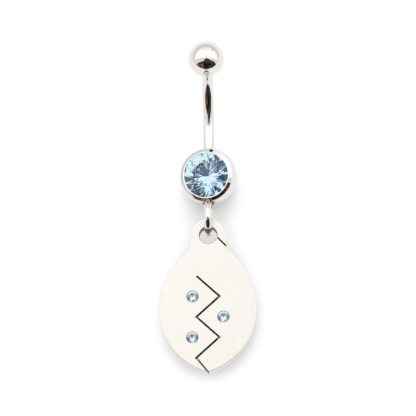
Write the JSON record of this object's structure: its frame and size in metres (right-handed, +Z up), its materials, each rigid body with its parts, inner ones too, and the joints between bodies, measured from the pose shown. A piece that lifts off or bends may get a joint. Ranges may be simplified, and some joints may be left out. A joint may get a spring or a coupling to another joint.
{
  "type": "navel ring",
  "caption": "Curved navel bar with a screw-on ball above, a ball set with a pale blue cut stone below, and a leaf-shaped plate that swings from a soldered ring.",
  "frame": {"origin": "middle of the curved bar's centreline, where the bar passes through the piercing", "axes": "+Z up as worn, -Y towards the viewer who faces the wearer, so the stone faces -Y; +X to that viewer's right"},
  "size_m": [0.0136, 0.0141, 0.0462],
  "materials": {
    "polished_steel": "polished",
    "satin_steel": "satin",
    "blue_stone": "polished"
  },
  "bodies": {
    "barbell": {"curved_barbell": "polished_steel", "ball_stone": "blue_stone"},
    "top_ball": {"top_ball": "polished_steel"},
    "pendant": {"leaf_pendant": "satin_steel", "leaf_stone_1": "blue_stone", "leaf_stone_2": "blue_stone", "leaf_stone_3": "blue_stone"}
  },
  "joints": [
    {"name": "pendant_swing", "type": "hinge", "parent": "barbell", "child": "pendant", "pos_m": [0, 0.00106, -0.01794], "axis": [0, 1, 0], "range_deg": [-105, 105]},
    {"name": "ball_unscrew", "type": "slide", "parent": "barbell", "child": "top_ball", "axis": [0, -0.8966, 0.4429], "range_m": [0, 0.0027]}
  ]
}
